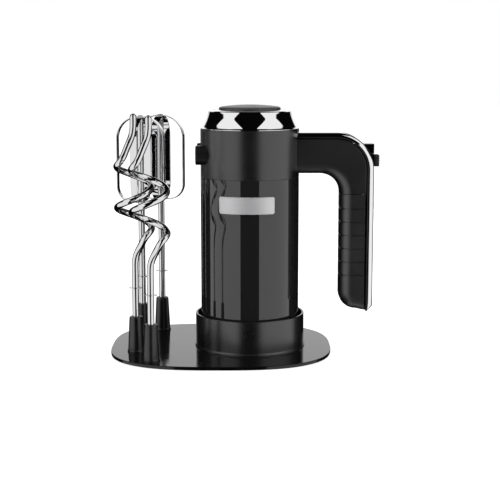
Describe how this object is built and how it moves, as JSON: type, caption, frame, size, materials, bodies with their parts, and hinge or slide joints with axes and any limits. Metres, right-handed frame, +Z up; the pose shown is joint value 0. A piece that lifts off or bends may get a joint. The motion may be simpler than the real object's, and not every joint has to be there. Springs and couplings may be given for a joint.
{
  "type": "hand mixer",
  "caption": "Barrel-shaped hand mixer with a loop handle, standing nose-up in a storage stand that also holds strip beaters and dough hooks.",
  "frame": {"origin": "on the table, at the middle of the footprint of the whole object: stand, mixer and attachments", "axes": "+Z up, +X from the attachments towards the mixer's handle, +Y towards the back of the stand"},
  "size_m": [0.2406, 0.172, 0.221],
  "materials": {
    "stand_black": "gloss",
    "pad_rubber": "matte",
    "collar_black": "satin",
    "peg_black": "satin",
    "sleeve_gloss": "high gloss",
    "housing_satin": "satin",
    "nose_chrome": "mirror",
    "disc_grey": "satin",
    "badge_silver": "brushed",
    "handle_black": "satin",
    "grip_rubber": "matte",
    "pod_gloss": "high gloss",
    "knob_grey": "satin",
    "screw_steel": "machined",
    "polished_steel": "polished",
    "switch_grey": "matte",
    "circuit_green": "satin",
    "cast_alloy": "as cast",
    "lamination": "varnished",
    "copper": "enamelled wire",
    "brass": "pressed",
    "carbon": "dull",
    "fan_white": "satin",
    "gear_nylon": "satin"
  },
  "bodies": {
    "stand": {"base_plate": "stand_black", "anti_slip_pad": "pad_rubber", "cradle_collar": "collar_black", "stand_screws": "screw_steel", "peg_front_right": "peg_black", "peg_front_left": "peg_black", "peg_back_left": "peg_black", "peg_back_right": "peg_black"},
    "mixer": {"bottom_cover": "collar_black", "lower_sleeve": "sleeve_gloss", "upper_housing": "housing_satin", "nose_cap": "nose_chrome", "cap_disc": "disc_grey", "badge_plate": "badge_silver", "socket_collars": "housing_satin", "handle_shell": "handle_black", "handle_spine": "handle_black", "handle_trim": "nose_chrome", "grip_sleeve": "grip_rubber", "switch_pod": "pod_gloss", "speed_switch": "switch_grey", "control_board": "circuit_green", "turbo_microswitch": "switch_grey", "eject_spring": "screw_steel", "turbo_spring": "screw_steel", "cord_gland": "grip_rubber", "gearbox_housing": "cast_alloy", "gearbox_cover": "cast_alloy", "motor_stator": "lamination", "field_coils": "copper", "lower_motor_bracket": "cast_alloy", "upper_motor_bracket": "cast_alloy", "brush_holders": "brass", "carbon_brushes": "carbon", "motor_bearings": "screw_steel", "housing_screws": "screw_steel"},
    "armature": {"armature_shaft": "screw_steel", "armature_core": "lamination", "commutator": "copper", "cooling_fan": "fan_white", "worm": "screw_steel"},
    "spindle_front": {"worm_wheel_front": "gear_nylon", "drive_socket_front": "screw_steel"},
    "spindle_back": {"worm_wheel_back": "gear_nylon", "drive_socket_back": "screw_steel"},
    "slider": {"speed_slider": "knob_grey"},
    "ejector": {"eject_button": "pod_gloss", "ejector_fork": "screw_steel"},
    "turbo": {"turbo_button": "knob_grey"},
    "beater_left": {"beater_left_shaft": "polished_steel", "beater_left_outer_loop": "polished_steel", "beater_left_inner_loop": "polished_steel"},
    "beater_right": {"beater_right_shaft": "polished_steel", "beater_right_outer_loop": "polished_steel", "beater_right_inner_loop": "polished_steel"},
    "hook_left": {"hook_left_rod": "polished_steel", "hook_left_washer": "polished_steel"},
    "hook_right": {"hook_right_rod": "polished_steel", "hook_right_washer": "polished_steel"}
  },
  "joints": [
    {"name": "mixer_lift", "type": "slide", "parent": "stand", "child": "mixer", "axis": [0, 0, 1], "range_m": [0, 0.1]},
    {"name": "beater_left_lift", "type": "slide", "parent": "stand", "child": "beater_left", "axis": [0, 0, 1], "range_m": [0, 0.04]},
    {"name": "beater_right_lift", "type": "slide", "parent": "stand", "child": "beater_right", "axis": [0, 0, 1], "range_m": [0, 0.04]},
    {"name": "hook_left_lift", "type": "slide", "parent": "stand", "child": "hook_left", "axis": [0, 0, 1], "range_m": [0, 0.04]},
    {"name": "hook_right_lift", "type": "slide", "parent": "stand", "child": "hook_right", "axis": [0, 0, 1], "range_m": [0, 0.04]},
    {"name": "armature_spin", "type": "hinge", "parent": "mixer", "child": "armature", "pos_m": [0.00475, 0, 0.09], "axis": [0, 0, 1], "continuous": true},
    {"name": "spindle_front_spin", "type": "hinge", "parent": "mixer", "child": "spindle_front", "pos_m": [0.00475, -0.0175, 0.1774], "axis": [1, 0, 0], "continuous": true},
    {"name": "spindle_back_spin", "type": "hinge", "parent": "mixer", "child": "spindle_back", "pos_m": [0.00475, 0.0175, 0.1774], "axis": [1, 0, 0], "continuous": true},
    {"name": "speed_slide", "type": "slide", "parent": "mixer", "child": "slider", "axis": [0, 0, -1], "range_m": [0, 0.012]},
    {"name": "eject_press", "type": "slide", "parent": "mixer", "child": "ejector", "axis": [-1, 0, 0], "range_m": [0, 0.004], "stiffness_N_per_m": 400, "springref_m": -0.003, "deforming": ["eject_spring"]},
    {"name": "turbo_press", "type": "slide", "parent": "mixer", "child": "turbo", "axis": [-1, 0, 0], "range_m": [0, 0.0015], "stiffness_N_per_m": 400, "springref_m": -0.002, "deforming": ["turbo_spring"]}
  ],
  "couplings": [
    {"joint": "spindle_front_spin", "follows": "armature_spin", "ratio": -0.04},
    {"joint": "spindle_back_spin", "follows": "armature_spin", "ratio": 0.04}
  ]
}
